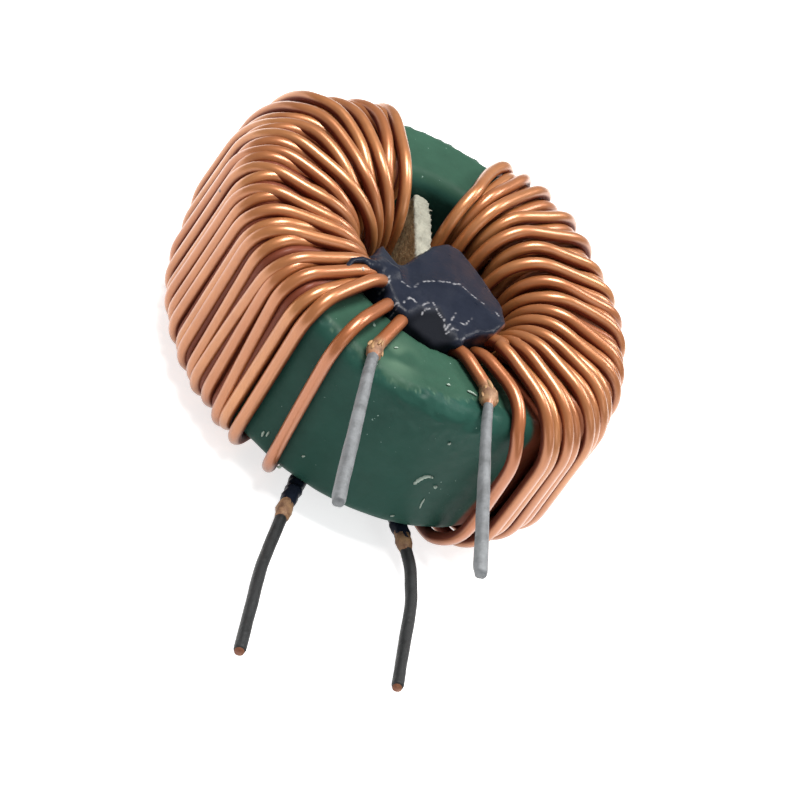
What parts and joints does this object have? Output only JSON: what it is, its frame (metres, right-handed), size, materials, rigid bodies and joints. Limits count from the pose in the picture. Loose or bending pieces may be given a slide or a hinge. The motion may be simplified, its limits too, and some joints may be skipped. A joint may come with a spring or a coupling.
{
  "type": "toroidal common mode inductor",
  "caption": "Green epoxy-coated ferrite ring with two enamelled copper windings, a fibre divider in the hole, black adhesive and tinned wire leads.",
  "frame": {"origin": "on the ring's axis, on the flat surface that the lowest turns rest on", "axes": "+Z along the ring's axis, out of the front face; the leads point towards -Y; +X towards the right winding"},
  "size_m": [0.0351, 0.0486, 0.017],
  "materials": {
    "ferrite": "matte",
    "green_epoxy": "satin",
    "enamelled_copper": "satin",
    "fibre_board": "matte",
    "black_adhesive": "gloss",
    "tin": "satin"
  },
  "bodies": {
    "root": {"ferrite_ring": "ferrite", "epoxy_coat": "green_epoxy", "winding_left": "enamelled_copper", "winding_right": "enamelled_copper", "divider_board": "fibre_board", "glue_front": "black_adhesive", "glue_back": "black_adhesive", "tin_front_left": "tin", "tin_front_right": "tin", "tin_back_left": "tin", "tin_back_right": "tin"}
  },
  "joints": []
}
